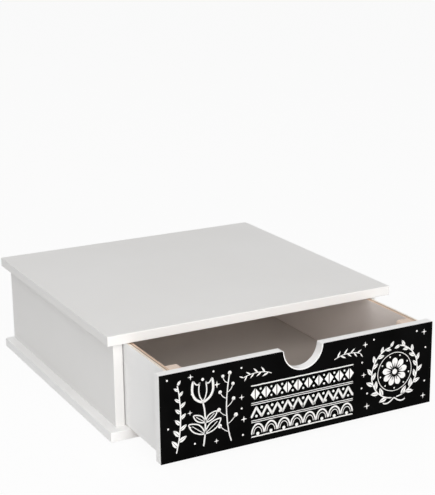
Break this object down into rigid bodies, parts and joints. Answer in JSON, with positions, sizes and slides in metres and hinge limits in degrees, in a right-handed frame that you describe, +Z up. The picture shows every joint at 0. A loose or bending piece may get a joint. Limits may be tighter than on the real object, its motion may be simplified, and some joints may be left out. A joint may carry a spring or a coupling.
{
  "type": "capsule storage drawer",
  "caption": "Low lacquered panel stand with one pull-out drawer for capsules; the drawer front has a half-round finger notch and a printed dark sheet.",
  "frame": {"origin": "centre of the footprint at rest, on the surface that the foot pads stand on, with the drawer pulled out 80 mm", "axes": "+X across the front to the right, +Y from the drawer front to the back panel, +Z up"},
  "size_m": [0.29, 0.36, 0.099],
  "materials": {
    "white_lacquer": "satin white lacquer on fibreboard",
    "drawer_board": "white-faced thin board with raw edges",
    "raw_board": "raw fibreboard, sanded",
    "floor_board": "thin white-faced hardboard",
    "print_film": "matt black printed film with pale chalk-like line drawing",
    "beech": "plain beech",
    "zinc_steel": "bright zinc plated",
    "pad_rubber": "black rubber"
  },
  "bodies": {
    "stand": {"top_panel": "white_lacquer", "base_panel": "white_lacquer", "left_side_panel": "white_lacquer", "right_side_panel": "white_lacquer", "back_panel": "white_lacquer", "top_dowels": "beech", "base_screws": "zinc_steel", "back_panel_pins": "zinc_steel", "foot_pads": "pad_rubber"},
    "drawer": {"drawer_front_panel": "white_lacquer", "front_print_sheet": "print_film", "drawer_inner_front": "raw_board", "drawer_left_wall": "drawer_board", "drawer_right_wall": "drawer_board", "drawer_back_wall": "drawer_board", "drawer_floor": "floor_board", "drawer_front_screws": "zinc_steel", "drawer_corner_pins": "zinc_steel"}
  },
  "joints": [
    {"name": "drawer_slide", "type": "slide", "parent": "stand", "child": "drawer", "axis": [0, -1, 0], "range_m": [-0.08, 0.11]}
  ]
}
